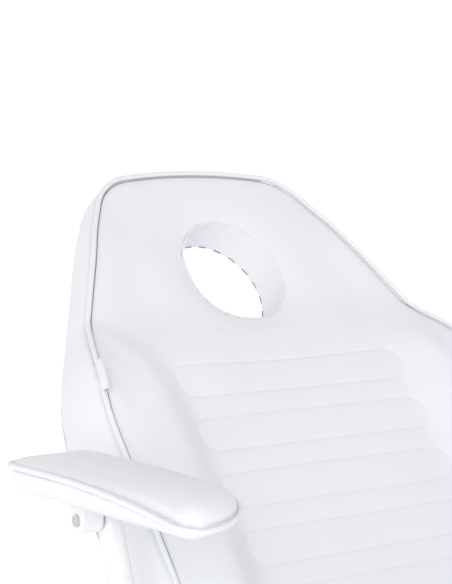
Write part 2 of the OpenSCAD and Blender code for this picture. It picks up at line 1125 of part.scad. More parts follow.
module release_grip(side) {
    color("dimgray")
        translate([
            side * (rail_x + seat_tube / 2 + 1 + lever_out), release_at[0] - lever_arm, release_at[1]
        ])
            rotate([90, 0, 0]) {
                cylinder(h = 4, r1 = 9, r2 = 11);
                translate([0, 0, 4])
                    cylinder(h = grip_len - 12, r = 11);
                translate([0, 0, grip_len - 8])
                    cylinder(h = 8, r1 = 11, r2 = 6);
            }
}

base_plate();
base_foot_pad();
pump_body();
pump_bolts();
pump_collar();
pedal_bracket();
pedal_pin();
pedal_arm();
pedal_pad();
ram();
swivel_hub();
top_plate();
top_plate_bolts();
lock_lever();
lock_knob();
seat_rail(1);  // seat_rail_left
seat_rail(-1);  // seat_rail_right
seat_cross_rails();
seat_mount_rails();
seat_board();
seat_cushion();
seat_screws();
back_hinge_lugs();
back_hinge_pins();
leg_hinge_lugs();
leg_hinge_pins();
back_rail(1);  // back_rail_left
back_rail(-1);  // back_rail_right
back_cross_rails();
back_board();
back_cushion();
back_screws();
loop_tab();
back_spring_lug();
back_spring_pin();
back_spring_bracket();
back_spring_tube();
back_spring_rod();
leg_rail(1);  // leg_rail_left
leg_rail(-1);  // leg_rail_right
leg_cross_rails();
leg_board();
leg_cushion();
leg_screws();
leg_spring_lug();
leg_spring_pin();
leg_spring_bracket();
leg_spring_tube();
leg_spring_rod();
arm_post(1);  // arm_post_left
arm_post(-1);  // arm_post_right
arm_pins();
arm_carrier(1);  // arm_carrier_left
arm_carrier(-1);  // arm_carrier_right
arm_pad(1);  // arm_pad_left
arm_pad(-1);  // arm_pad_right
release_lever(1);  // back_release_lever
release_grip(1);  // back_release_grip
release_lever(-1);  // leg_release_lever
release_grip(-1);  // leg_release_grip
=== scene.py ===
import json
import math
import bpy
import numpy as np
from mathutils import Matrix, Vector
from mathutils.kdtree import KDTree


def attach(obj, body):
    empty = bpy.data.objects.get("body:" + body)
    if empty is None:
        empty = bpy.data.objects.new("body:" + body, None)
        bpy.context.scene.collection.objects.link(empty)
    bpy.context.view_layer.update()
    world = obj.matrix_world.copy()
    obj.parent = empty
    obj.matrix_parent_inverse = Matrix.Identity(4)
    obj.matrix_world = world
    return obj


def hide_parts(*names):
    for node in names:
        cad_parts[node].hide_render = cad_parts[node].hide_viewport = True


# A facial treatment bed: three padded sections covered in white vinyl, on a painted steel
# frame and a hydraulic column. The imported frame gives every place; sizes here are in metres.
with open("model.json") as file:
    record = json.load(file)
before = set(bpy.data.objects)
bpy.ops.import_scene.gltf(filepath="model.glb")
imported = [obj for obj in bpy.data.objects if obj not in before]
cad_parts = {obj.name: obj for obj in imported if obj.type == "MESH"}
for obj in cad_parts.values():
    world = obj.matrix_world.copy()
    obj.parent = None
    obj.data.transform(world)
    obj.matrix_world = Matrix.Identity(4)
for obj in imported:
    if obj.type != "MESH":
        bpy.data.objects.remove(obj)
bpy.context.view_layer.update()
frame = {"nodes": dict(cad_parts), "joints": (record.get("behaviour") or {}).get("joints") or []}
nodes = frame["nodes"]


# ---- Camera, light and floor -------------------------------------------------------------
# A long lens looks slightly down at the head end from the bed's front right corner. The room
# is a white tent that is brightest low down, with one large soft box at the front left.
HEAD_TOP = Vector((0, 0.6617, 1.1392))
CAMERA_FROM_HEAD = Vector((-1.2668, -1.7255, -0.0024))
CAMERA_AZIMUTH = 37.41
CAMERA_PITCH = 3.82
LENS = 105.8

bpy.ops.object.camera_add(
    location=HEAD_TOP + CAMERA_FROM_HEAD,
    rotation=(math.radians(90 - CAMERA_PITCH), 0, math.radians(-CAMERA_AZIMUTH)),
)
camera = bpy.context.object
camera.name = "studio_camera"
camera.data.lens = LENS
camera.data.sensor_width = 36
bpy.context.scene.camera = camera
bpy.context.scene.view_settings.view_transform = "Standard"

world = bpy.data.worlds.new("white_tent")
world.use_nodes = True
tent = world.node_tree
direction = tent.nodes.new("ShaderNodeTexCoord")
upward = tent.nodes.new("ShaderNodeSeparateXYZ")
roof = tent.nodes.new("ShaderNodeMapRange")
roof.inputs["From Min"].default_value = 0.2
roof.inputs["From Max"].default_value = 1.0
roof.inputs["To Min"].default_value = 1.04
roof.inputs["To Max"].default_value = 0.80
tent.links.new(direction.outputs["Generated"], upward.inputs["Vector"])
tent.links.new(upward.outputs["Z"], roof.inputs["Value"])
tent.links.new(roof.outputs["Result"], tent.nodes["Background"].inputs["Strength"])
tent.nodes["Background"].inputs["Color"].default_value = (1, 1, 1, 1)
bpy.context.scene.world = world


def soft_box(name, place, aim, width, power):
    """A square area light at place that points at aim."""
    turn = (Vector(aim) - Vector(place)).to_track_quat("-Z", "Y").to_euler()
    bpy.ops.object.light_add(type="AREA", location=place, rotation=turn)
    light = bpy.context.object
    light.name = name
    light.data.size = width
    light.data.energy = power
    return light


soft_box("front_left_soft_box", (-2.8, -2.4, 1.5), (0, 0.4, 0.9), 2.2, 60)


def hex_colour(code):
    """A linear RGBA colour from an sRGB hex string."""
    parts = [int(code[i:i + 2], 16) / 255 for i in (0, 2, 4)]
    return tuple(c / 12.92 if c <= 0.04045 else ((c + 0.055) / 1.055) ** 2.4 for c in parts) + (1,)


def new_material(name, colour, roughness, **sockets):
    """A material on the Principled shader, with its shader and its Object coordinates."""
    made = bpy.data.materials.new(name)
    made.use_nodes = True
    shader = made.node_tree.nodes["Principled BSDF"]
    shader.inputs["Base Color"].default_value = hex_colour(colour)
    shader.inputs["Roughness"].default_value = roughness
    for key, value in sockets.items():
        shader.inputs[key.replace("_", " ")].default_value = value
    place = add_node(made, "ShaderNodeTexCoord").outputs["Object"]
    return made, shader, place


def add_node(material, kind, links=(), **settings):
    """Adds a node; settings name its inputs or its attributes, and links feed its inputs."""
    made = material.node_tree.nodes.new(kind)
    for key, value in settings.items():
        if hasattr(made, key):
            setattr(made, key, value)
        else:
            made.inputs[key.replace("_", " ")].default_value = value
    for source, target in links:
        material.node_tree.links.new(source, made.inputs[target])
    return made


def feed(material, source, shader, socket):
    material.node_tree.links.new(source, shader.inputs[socket])


floor_paint = new_material(
    "backlit_studio_acrylic", "FCFCFC", 0.9, Emission_Color=(1, 1, 1, 1), Emission_Strength=0.2
)[0]
bpy.ops.object.select_all(action="DESELECT")
bpy.ops.mesh.primitive_plane_add(size=60, location=(0, 0, 0))
floor = bpy.context.object
floor.name = "studio_floor"
floor.data.materials.append(floor_paint)


# ---- Vinyl -------------------------------------------------------------------------------
# White PVC upholstery vinyl: a knitted backing under a soft coat, embossed with a fine hide
# grain. To the eye it is satin and slightly cool, and the grain only breaks its highlights.
GRAIN = 0.0011
vinyl, vinyl_shader, vinyl_place = new_material(
    "white_upholstery_vinyl", "DCDEE3", 0.42, IOR=1.52, Coat_Weight=0.1, Coat_Roughness=0.3
)
cells = add_node(
    vinyl, "ShaderNodeTexVoronoi", [(vinyl_place, "Vector")],
    feature="DISTANCE_TO_EDGE", Scale=1 / GRAIN, Randomness=0.9,
)
cell_edge = add_node(
    vinyl, "ShaderNodeMapRange", [(cells.outputs["Distance"], "Value")], From_Max=0.18,
)
creep = add_node(
    vinyl, "ShaderNodeTexNoise", [(vinyl_place, "Vector")], Scale=9.0, Detail=3.0, Roughness=0.5
)
grain_bump = add_node(
    vinyl, "ShaderNodeBump", [(cell_edge.outputs["Result"], "Height")],
    Strength=0.35, Distance=0.00005,
)
tone = add_node(vinyl, "ShaderNodeMix", [(creep.outputs["Fac"], "Factor")], data_type="RGBA")
tone.inputs[6].default_value = hex_colour("D9DBE1")
tone.inputs[7].default_value = hex_colour("DFE0E4")
feel = add_node(
    vinyl, "ShaderNodeMapRange", [(creep.outputs["Fac"], "Value")], To_Min=0.38, To_Max=0.48
)
feed(vinyl, tone.outputs[2], vinyl_shader, "Base Color")
feed(vinyl, feel.outputs["Result"], vinyl_shader, "Roughness")
feed(vinyl, grain_bump.outputs["Normal"], vinyl_shader, "Normal")


# ---- Back cushion ------------------------------------------------------------------------
# Foam on a plywood board under a sewn cover: a flat head end with the face hole, a panel
# with stitched cross ribs below it and a bolster along each side. The boxing that runs
# round the side bulges past the board, and the cover is pulled under and stapled.
def section_turn(joint_name):
    """The matrix from a section's flat frame, with its hinge at the origin, to its built place."""
    joint = next(j for j in frame["joints"] if j["name"] == joint_name)
    return Matrix.Translation(joint["pos_m"]) @ Matrix.Rotation(
        -math.radians(joint["range_deg"][0]), 4, "X"
    )


def flat_box(node, turn):
    """Lowest and highest corner of a CAD node in a section's flat frame."""
    back_again = turn.inverted()
    points = np.array([back_again @ v.co for v in nodes[node].data.vertices])
    return points.min(0), points.max(0)


def round_off(corners, radii, step=math.radians(6)):
    """A closed outline with an arc of the given radius at each corner."""
    outline = []
    count = len(corners)
    for i, (corner, radius) in enumerate(zip(corners, radii)):
        here = Vector(corner)
        back = (Vector(corners[i - 1]) - here).normalized()
        ahead = (Vector(corners[(i + 1) % count]) - here).normalized()
        half = back.angle(ahead) / 2
        centre = here + (back + ahead).normalized() * radius / math.sin(half)
        start = here + back * radius / math.tan(half) - centre
        end = here + ahead * radius / math.tan(half) - centre
        turn = start.angle_signed(end)
        pieces = max(3, math.ceil(abs(turn) / step))
        for k in range(pieces + 1):
            outline.append(centre + Matrix.Rotation(-turn * k / pieces, 2) @ start)
    return outline


def even_path(points, spacing, closed=True):
    """Points at an even spacing along a path."""
    line = np.array([np.array(p) for p in points] + ([np.array(points[0])] if closed else []))
    run = np.concatenate([[0], np.cumsum(np.linalg.norm(np.diff(line, axis=0), axis=1))])
    count = max(3, round(run[-1] / spacing))
    at = np.linspace(0, run[-1], count + 1)
    at = at[:-1] if closed else at
    return np.stack([np.interp(at, run, line[:, k]) for k in range(line.shape[1])], 1)


def inset(outline, amount):
    """A counter-clockwise outline moved inwards by amount."""
    along = np.roll(outline, -1, 0) - np.roll(outline, 1, 0)
    along /= np.linalg.norm(along, axis=1)[:, None]
    return outline + np.stack([-along[:, 1], along[:, 0]], 1) * amount


def ease(value, start, end):
    """0 at start, 1 at end, smooth between."""
    t = np.clip((value - start) / (end - start), 0, 1)
    return t * t * (3 - 2 * t)


def bell(value, width):
    return np.exp(-((value / width) ** 2))


def coords(piece, kind="co"):
    flat = np.zeros(len(piece.data.vertices) * 3, np.float32)
    piece.data.vertices.foreach_get(kind, flat)
    return flat.reshape(-1, 3).astype(float)


def set_coords(piece, points):
    piece.data.vertices.foreach_set("co", points.astype(np.float32).ravel())
    piece.data.update()


def distance_to(path, points):
    """Distance from each point to the nearest point of a densely sampled path."""
    tree = KDTree(len(path))
    for i, p in enumerate(path):
        tree.insert(p, i)
    tree.balance()
    return np.array([tree.find(p)[2] for p in points])


def select_only(piece):
    """Makes piece the one selected and active object."""
    bpy.ops.object.select_all(action="DESELECT")
    piece.select_set(True)
    bpy.context.view_layer.objects.active = piece


def apply_modifier(piece, kind, **settings):
    select_only(piece)
    made = piece.modifiers.new(kind.lower(), kind)
    for key, value in settings.items():
        setattr(made, key, value)
    bpy.ops.object.modifier_apply(modifier=made.name)


def slab(name, outline, low, high):
    """A closed block: a disc whose rim is drawn out to the outline, then extruded upwards."""
    bpy.ops.object.select_all(action="DESELECT")
    bpy.ops.mesh.primitive_circle_add(vertices=len(outline), radius=1, fill_type="NGON")
    piece = bpy.context.object
    piece.name = name
    for vertex, point in zip(piece.data.vertices, outline):
        vertex.co = (point[0], point[1], low)
    bpy.ops.object.mode_set(mode="EDIT")
    bpy.ops.mesh.select_all(action="SELECT")
    bpy.ops.mesh.extrude_region_move(TRANSFORM_OT_translate={"value": (0, 0, high - low)})
    bpy.ops.mesh.select_all(action="SELECT")
    bpy.ops.mesh.normals_make_consistent(inside=False)
    bpy.ops.object.mode_set(mode="OBJECT")
    return piece


def remesh(piece, size):
    select_only(piece)
    piece.data.remesh_voxel_size = size
    bpy.ops.object.voxel_remesh()


def refine(piece, chosen):
    """Splits in four the faces whose corners are all chosen."""
    select_only(piece)
    bpy.ops.object.mode_set(mode="EDIT")
    bpy.ops.mesh.select_mode(type="VERT")
    bpy.ops.mesh.select_all(action="DESELECT")
    bpy.ops.object.mode_set(mode="OBJECT")
    piece.data.vertices.foreach_set("select", chosen)
    bpy.ops.object.mode_set(mode="EDIT")
    bpy.ops.mesh.select_mode(type="FACE")
    bpy.ops.mesh.subdivide(number_cuts=1, smoothness=0)
    bpy.ops.mesh.select_mode(type="VERT")
    bpy.ops.object.mode_set(mode="OBJECT")


def stuff(piece, held, cap):
    """Blows the cover up from inside with its held points fixed, each moving at most its cap."""
    rest = coords(piece)
    group = piece.vertex_groups.new(name="seams")
    group.add([int(i) for i in np.flatnonzero(held)], 1.0, "REPLACE")
    cloth = piece.modifiers.new("stuffing", "CLOTH")
    cloth.settings.use_pressure = True
    cloth.settings.uniform_pressure_force = 4
    cloth.settings.effector_weights.gravity = 0
    cloth.settings.vertex_group_mass = group.name
    cloth.settings.tension_stiffness = 12
    cloth.settings.compression_stiffness = 12
    cloth.settings.bending_stiffness = 3
    cloth.point_cache.frame_start = 1
    cloth.point_cache.frame_end = 20
    for moment in range(1, 21):
        bpy.context.scene.frame_set(moment)
    ready = piece.evaluated_get(bpy.context.evaluated_depsgraph_get())
    blown = np.array([v.co for v in ready.data.vertices])
    bpy.context.scene.frame_set(1)
    piece.modifiers.remove(cloth)
    piece.vertex_groups.remove(group)
    move = blown - rest
    limit = np.minimum(1, cap / np.maximum(np.linalg.norm(move, axis=1), 1e-9))
    set_coords(piece, rest + move * limit[:, None])


def place_piece(piece, turn, material, body, smooth=50):
    """Takes a piece made in a flat frame to its built place, with material and body."""
    piece.data.transform(turn)
    piece.data.materials.clear()
    piece.data.materials.append(material)
    select_only(piece)
    bpy.ops.object.shade_smooth_by_angle(angle=math.radians(smooth))
    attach(piece, body)


def upholster(name, outline, low, thick, rise, ribs, voxel, warp=None, bore=None, hole=None):
    """A stuffed cushion: its cover is a remeshed block, warped, blown up and sewn down."""
    piece = slab(name, inset(outline, -COVER_OVER), low + COVER_LIFT, low + thick)
    if bore:
        bore(piece)
    remesh(piece, voxel)
    points = coords(piece)
    share = np.clip((points[:, 2] - low) / thick, 0, 1)
    if warp:
        points[:, 1] = warp(points[:, 0], points[:, 1])
    tall = thick + rise(points[:, 0], points[:, 1])
    points[:, 2] = low + share * tall
    set_coords(piece, points)
    from_hole = np.abs(hole(points[:, 0], points[:, 1])) if hole else np.full(len(points), 1.0)
    outward = coords(piece, "normal")
    boxing = (np.abs(outward[:, 2]) < UPRIGHT) & (from_hole > HOLE_CLEAR)
    bulge = BOXING_BULGE * (tall - BULGE_FREE) * (4 * share * (1 - share)) ** BULGE_SHAPE
    points += outward * np.where(boxing, bulge, 0)[:, None]
    set_coords(piece, points)

    flat = inset(outline, -COVER_OVER)
    y = warp(flat[:, 0], flat[:, 1]) if warp else flat[:, 1]
    seam = np.stack([flat[:, 0], y, low + thick + rise(flat[:, 0], y)], 1)
    lower = np.stack([flat[:, 0], y, np.full(len(y), low)], 1)
    held = distance_to(seam, points) < SEAM_HELD
    held |= (distance_to(lower, points) < HEM_HELD) | (from_hole < HOLE_HELD) | (share < HEM_SHARE)
    stuff(piece, held, np.where(boxing, BOXING_PUFF, FACE_PUFF))
    taut = (distance_to(seam, points) > SEAM_SLACK) & (from_hole > HOLE_SLACK)
    group = piece.vertex_groups.new(name="taut")
    group.add([int(i) for i in np.flatnonzero(taut)], 1.0, "REPLACE")
    apply_modifier(piece, "SMOOTH", iterations=TAUT_STEPS, factor=0.5, vertex_group="taut")
    piece.vertex_groups.clear()
    apply_modifier(piece, "SMOOTH", iterations=2, factor=0.5)
    apply_modifier(piece, "SUBSURF", levels=1, render_levels=1)

    fine_seam = even_path(seam, FINE_STEP)
    refine(piece, distance_to(fine_seam, coords(piece)) < FINE_BAND)
    points = coords(piece)
    on_face = points[:, 2] > low + thick * FACE_SHARE
    refine(piece, on_face & (np.abs(ribs(points[:, 0], points[:, 1])) < RIB_BAND))

    points = coords(piece)
    outward = coords(piece, "normal")
    off = distance_to(fine_seam, points)
    face = ease(outward[:, 2], 0.15, 0.5)
    groove = GROOVE * bell(off - GROOVE_OFF, CREASE_WIDTH) + FACE_PULL * bell(off, FACE_PULL_WIDTH)
    stitched = STITCH_DIP * bell(off - STITCH_OFF, CREASE_WIDTH)
    sunk = face * groove + (1 - face) * (stitched + SIDE_PULL * bell(off, SIDE_PULL_WIDTH))
    edge = ribs(points[:, 0], points[:, 1])
    on_panel = face * (edge < RIB_REACH) * (points[:, 2] > low + thick * FACE_SHARE)
    swell = RIB_SWELL * ease(np.abs(edge), 0, RIB_SWELL_WIDTH)
    sunk += on_panel * (RIB_CREASE * bell(edge, RIB_WIDTH) - swell)
    if hole:
        past_rim = np.maximum(hole(points[:, 0], points[:, 1]), 0)
        sunk += face * HOLE_DIP * bell(past_rim, HOLE_DIP_WIDTH)
    set_coords(piece, points - outward * sunk[:, None])
    return piece, seam


def tube(name, path, radius, closed=True, sides=3):
    """A round cord along a path: a ring of edges turned to a curve, given a bevel, and meshed."""
    bpy.ops.object.select_all(action="DESELECT")
    bpy.ops.mesh.primitive_circle_add(vertices=len(path), radius=1, fill_type="NOTHING")
    piece = bpy.context.object
    piece.name = name
    for vertex, point in zip(piece.data.vertices, path):
        vertex.co = point
    if not closed:
        last = {0, len(path) - 1}
        for edge in piece.data.edges:
            edge.select = set(edge.vertices) == last
        for vertex in piece.data.vertices:
            vertex.select = vertex.index in last
        bpy.ops.object.mode_set(mode="EDIT")
        bpy.ops.mesh.select_mode(type="EDGE")
        bpy.ops.mesh.delete(type="EDGE")
        bpy.ops.mesh.select_mode(type="VERT")
        bpy.ops.object.mode_set(mode="OBJECT")
    bpy.ops.object.convert(target="CURVE")
    piece = bpy.context.object
    piece.data.bevel_depth = radius
    piece.data.bevel_resolution = sides
    piece.data.use_fill_caps = not closed
    bpy.ops.object.convert(target="MESH")
    piece = bpy.context.object
    bpy.ops.object.mode_set(mode="EDIT")
    bpy.ops.mesh.select_all(action="SELECT")
    bpy.ops.mesh.remove_doubles(threshold=0.00002)
    bpy.ops.mesh.normals_make_consistent(inside=False)
    bpy.ops.object.mode_set(mode="OBJECT")
    return piece


def on_surface(piece, path, lift):
    """The path moved onto the piece's surface, then lifted off it."""
    found = [piece.closest_point_on_mesh(Vector(p)) for p in path]
    spots = np.array([f[1] for f in found])
    facing = np.array([f[2] for f in found])
    for _ in range(3):
        facing = (facing + np.roll(facing, 1, 0) + np.roll(facing, -1, 0)) / 3
        spots = (spots + np.roll(spots, 1, 0) + np.roll(spots, -1, 0)) / 3
    return spots + facing * np.reshape(lift, (-1, 1))


def sew(name, piece, path):
    """A running thread on the piece: it shows for three millimetres, then dips in."""
    fine = even_path(path, STITCH / 3)
    fine = fine[:len(fine) // 3 * 3]
    lift = np.tile([0.00012, 0.00012, -0.0006], len(fine) // 3)
    return tube(name, on_surface(piece, fine, lift), THREAD, sides=0)


COVER_OVER = 0.003
COVER_LIFT = 0.0005
UPRIGHT = 0.6
FACE_SHARE = 0.8
BOXING_BULGE = 0.205
BULGE_FREE = 0.035
BULGE_SHAPE = 0.8
BOXING_PUFF = 0.005
FACE_PUFF = 0.0055
SEAM_HELD = 0.0045
HEM_HELD = 0.006
HEM_SHARE = 0.15
SEAM_SLACK = 0.016
TAUT_STEPS = 18
FINE_STEP = 0.0015
FINE_BAND = 0.0105
GROOVE = 0.0030
GROOVE_OFF = 0.0026
CREASE_WIDTH = 0.0011
FACE_PULL = 0.0022
FACE_PULL_WIDTH = 0.009
SIDE_PULL = 0.0014
SIDE_PULL_WIDTH = 0.004
HOLE_HELD = 0.005
HOLE_SLACK = 0.012
HOLE_CLEAR = 0.02
HOLE_DIP = 0.0028
HOLE_DIP_WIDTH = 0.015
STITCH_DIP = 0.0011
STITCH_OFF = 0.0062
STITCH = 0.004
THREAD = 0.00028
RIB_BAND = 0.006
RIB_REACH = 0.05
RIB_CREASE = 0.0009
RIB_WIDTH = 0.0015
RIB_SWELL = 0.0005
RIB_SWELL_WIDTH = 0.014

BACK = section_turn("backrest_tilt")
board_low, board_high = flat_box("back_board", BACK)
pad_high = flat_box("back_cushion", BACK)[1]
BACK_HALF = board_high[0]
BACK_HEAD = board_high[1]
BACK_END = board_low[1]
BOARD_LOW = board_low[2]
HEAD_THICK = 0.056
HEAD_HALF = 0.133
HEAD_TAPER = 0.497
HEAD_CORNER_DOWN = 0.0054
SHOULDER = 0.26
SIDE_ROLL = 0.008
CROWN = 0.69
PANEL_RISE = 0.0135
BOLSTER_RISE = pad_high[2] - BOARD_LOW - HEAD_THICK
HOLE_DOWN = 0.1425
HOLE_HALF_X = 0.0675
HOLE_HALF_Y = 0.0702
RIB_FIRST = 0.280
RIB_HIGH = 0.0416
RIB_PITCH = 0.0695
RIB_COUNT = 6
RIB_HALF = 0.1685

shoulder = BACK_HEAD - (BACK_HALF - HEAD_HALF) / HEAD_TAPER
corner_half = HEAD_HALF + HEAD_TAPER * 0.013
corner_y = BACK_HEAD - HEAD_CORNER_DOWN
back_outline = even_path(round_off(
    [
        (-BACK_HALF, BACK_END), (BACK_HALF, BACK_END), (BACK_HALF, shoulder),
        (corner_half, corner_y), (-corner_half, corner_y), (-BACK_HALF, shoulder),
    ],
    [0.045, 0.045, SHOULDER, 0.054, 0.054, SHOULDER],
), 0.004)


def crowned(x, y):
    """The head end's shallow arch: points near it drop back towards the sides."""
    near = 1 - ease(BACK_HEAD - y, 0.0, 0.09)
    return y + near * (HEAD_CORNER_DOWN - CROWN * x * x)


def back_rise(x, y):
    """Height of the cover above the head's face: the panel, and the bolster at each side."""
    down = BACK_HEAD - y
    panel = PANEL_RISE * ease(down, 0.19, 0.27)
    bolster = BOLSTER_RISE * ease(down, 0.175, 0.313)
    tail = ease(down, 0.53, 0.685)
    bolster = bolster * (1 - tail) + PANEL_RISE * tail
    side = ease(np.abs(x), 0.158, 0.222)
    from_edge = np.minimum(HEAD_HALF + HEAD_TAPER * down, BACK_HALF) - np.abs(x)
    roll = SIDE_ROLL * ease(down, 0.02, 0.13) * (1 - ease(from_edge, 0.004, 0.055))
    return np.maximum(panel * (1 - side) + bolster * side, roll * (1 - ease(down, 0.35, 0.5)))


def cross_ribs(middles, half, high):
    """A distance field: 0 on each stadium-shaped rib outline, negative inside a rib."""
    def edge(x, y):
        past = np.maximum(np.abs(x) - (half - high / 2), 0)
        return np.min([np.hypot(past, y - m) - high / 2 for m in middles], axis=0)
    return edge


def rib_outline(middle, half, high, height):
    corners = [(-half, middle - high / 2), (half, middle - high / 2),
               (half, middle + high / 2), (-half, middle + high / 2)]
    flat = even_path(round_off(corners, [high / 2 - 1e-5] * 4), 0.004)
    return np.column_stack([flat, np.full(len(flat), height)])


def hole_edge(x, y):
    """Distance from the face hole's rim, nearly, negative inside it."""
    ratio = np.hypot(x / HOLE_HALF_X, (y - HOLE_Y) / HOLE_HALF_Y)
    return (ratio - 1) * (HOLE_HALF_X + HOLE_HALF_Y) / 2


def bore_hole(piece):
    """Cuts the face hole through a block."""
    bpy.ops.object.select_all(action="DESELECT")
    bpy.ops.mesh.primitive_cylinder_add(vertices=96, radius=1, depth=0.3)
    borer = bpy.context.object
    borer.data.transform(
        Matrix.Translation((0, HOLE_Y, 0)) @ Matrix.Diagonal((HOLE_HALF_X, HOLE_HALF_Y, 1, 1))
    )
    apply_modifier(piece, "BOOLEAN", operation="DIFFERENCE", object=borer, solver="EXACT")
    bpy.data.objects.remove(borer)


HOLE_Y = BACK_HEAD - HOLE_DOWN
back_ribs = [BACK_HEAD - RIB_FIRST - RIB_PITCH * k - RIB_HIGH / 2 for k in range(RIB_COUNT)]
back, back_seam = upholster(
    "back_cushion_cover", back_outline, BOARD_LOW, HEAD_THICK, back_rise,
    cross_ribs(back_ribs, RIB_HALF, RIB_HIGH), 0.006, warp=crowned, bore=bore_hole, hole=hole_edge,
)


# ---- Back piping and stitching -----------------------------------------------------------
# A vinyl-covered cord is sewn into the seam between face and boxing all the way round. White
# polyester thread shows beside it on the boxing and round every rib. A thin grey cord along
# the piping's inner side is painted shade: it darkens the crevice between piping and face.
PIPING = 0.003
PIPING_LIFT = 0.0002
SEAM_SHADE_CORD = 0.0005
thread_white, thread_shader, thread_place = new_material("white_polyester_thread", "D5D7DC", 0.6)
twist = add_node(
    thread_white, "ShaderNodeTexWave", [(thread_place, "Vector")], Scale=400.0, Distortion=2.0
)
twist_bump = add_node(
    thread_white, "ShaderNodeBump", [(twist.outputs["Fac"], "Height")],
    Strength=0.3, Distance=0.0001,
)
feed(thread_white, twist_bump.outputs["Normal"], thread_shader, "Normal")


# Painted shade: a mid-grey cord that darkens the shadow gap between the piping and the face.
seam_shade_grey, seam_shade_shader, seam_shade_place = new_material("painted_seam_shadow_grey", "8F9197", 0.65)
ply = add_node(
    seam_shade_grey, "ShaderNodeTexWave", [(seam_shade_place, "Vector")], Scale=400.0, Distortion=2.0
)
ply_bump = add_node(
    seam_shade_grey, "ShaderNodeBump", [(ply.outputs["Fac"], "Height")], Strength=0.3, Distance=0.0001
)
feed(seam_shade_grey, ply_bump.outputs["Normal"], seam_shade_shader, "Normal")


def pipe_and_sew(piece, name, seam, ribs, turn, body):
    """Piping on the seam, a grey cord of painted shade in the gap inside it, the stitch line on the
    boxing below it, and a thread on each rib.
    """
    piping = tube(name + "_piping", seam + np.array([0, 0, PIPING_LIFT]), PIPING)
    place_piece(piping, turn, vinyl, body)
    # The grey cord laid along the piping's inner side is painted shade, not a sewn thread.
    gap = np.column_stack([inset(seam[:, :2], PIPING + PIPING_LIFT), seam[:, 2]])
    shade_cord = tube(name + "_seam_shade_cord", on_surface(piece, gap, 0.0001), SEAM_SHADE_CORD, sides=1)
    place_piece(shade_cord, turn, seam_shade_grey, body)
    low_line = np.column_stack([inset(seam[:, :2], -0.004), seam[:, 2] - 0.0055])
    threads = [sew(name + "_boxing_stitch", piece, low_line)]
    threads += [sew(name + f"_rib_stitch_{k}", piece, r) for k, r in enumerate(ribs)]
    select_only(threads[0])
    for thread in threads:
        thread.select_set(True)
    bpy.ops.object.join()
    threads[0].name = name + "_stitching"
    place_piece(threads[0], turn, thread_white, body)


panel_high = BOARD_LOW + HEAD_THICK + PANEL_RISE
pipe_and_sew(
    back, "back", back_seam,
    [rib_outline(m, RIB_HALF, RIB_HIGH, panel_high) for m in back_ribs], BACK, "backrest",
)


# ---- Face hole trim ----------------------------------------------------------------------
# The liner of the face hole meets the face in a fine welt. Below, the liner turns over the
# board's edge, where a ring of wire staples holds it.
WELT = 0.0009
STAPLES = 20
hole_turn = np.linspace(0, 2 * math.pi, 120, endpoint=False)
rim = np.column_stack([
    (HOLE_HALF_X + 0.0012) * np.cos(hole_turn), HOLE_Y + (HOLE_HALF_Y + 0.0012) * np.sin(hole_turn),
    np.full(120, BOARD_LOW + HEAD_THICK),
])
welt = tube("face_hole_welt", on_surface(back, rim, 0.0003), WELT)
place_piece(welt, BACK, vinyl, "backrest")

staple_steel, staple_shader, staple_place = new_material(
    "black_staple_wire", "35373B", 0.35, Metallic=1.0
)
wear = add_node(
    staple_steel, "ShaderNodeTexNoise", [(staple_place, "Vector")], Scale=600.0, Detail=2.0
)
wear_range = add_node(
    staple_steel, "ShaderNodeMapRange", [(wear.outputs["Fac"], "Value")], To_Min=0.3, To_Max=0.5
)
feed(staple_steel, wear_range.outputs["Result"], staple_shader, "Roughness")


def staple_row(name, spots, turn, body):
    """Staples at (place, direction, up) spots: a flat crown whose two legs turn down."""
    made = []
    for at, along, up in spots:
        arch = [(-0.005, -0.0012), (-0.0047, 0.0003), (0.0047, 0.0003), (0.005, -0.0012)]
        path = [at + along * a + up * b for a, b in arch]
        made.append(tube(name, path, 0.00055, closed=False, sides=0))
    select_only(made[0])
    for one in made:
        one.select_set(True)
    bpy.ops.object.join()
    place_piece(made[0], turn, staple_steel, body)


spots = []
for k in range(STAPLES):
    a = 2 * math.pi * (k + 0.4) / STAPLES
    out = np.array([math.cos(a), math.sin(a), 0])
    at = np.array([HOLE_HALF_X * out[0], HOLE_Y + HOLE_HALF_Y * out[1], BOARD_LOW + 0.0042])
    spots.append((at + out * 0.0001, np.array([-out[1], out[0], 0]), -out))
staple_row("face_hole_staples", spots, BACK, "backrest")


# ---- Back cover's hem --------------------------------------------------------------------
# Under the board the cover ends in a flat hem round the edge and round the face hole, held
# by a row of staples.
HEM_WIDTH = 0.024
HEM_THICK = 0.0007


def hem_band(name, outer, inner, height):
    """A thin flat band between two rings of points: a ring extruded to the other, made solid."""
    bpy.ops.object.select_all(action="DESELECT")
    bpy.ops.mesh.primitive_circle_add(vertices=len(outer), radius=1, fill_type="NOTHING")
    piece = bpy.context.object
    piece.name = name
    for vertex, point in zip(piece.data.vertices, outer):
        vertex.co = (point[0], point[1], height)
    bpy.ops.object.mode_set(mode="EDIT")
    bpy.ops.mesh.select_all(action="SELECT")
    bpy.ops.mesh.extrude_region_move(TRANSFORM_OT_translate={"value": (0, 0, 0)})
    bpy.ops.object.mode_set(mode="OBJECT")
    rings = {tuple(np.round(p, 6)): q for p, q in zip(outer, inner)}
    for vertex in list(piece.data.vertices)[len(outer):]:
        goal = rings[tuple(np.round(vertex.co.xy, 6))]
        vertex.co = (goal[0], goal[1], height)
    apply_modifier(piece, "SOLIDIFY", thickness=HEM_THICK, offset=0)
    bpy.ops.object.mode_set(mode="EDIT")
    bpy.ops.mesh.select_all(action="SELECT")
    bpy.ops.mesh.normals_make_consistent(inside=False)
    bpy.ops.object.mode_set(mode="OBJECT")
    return piece


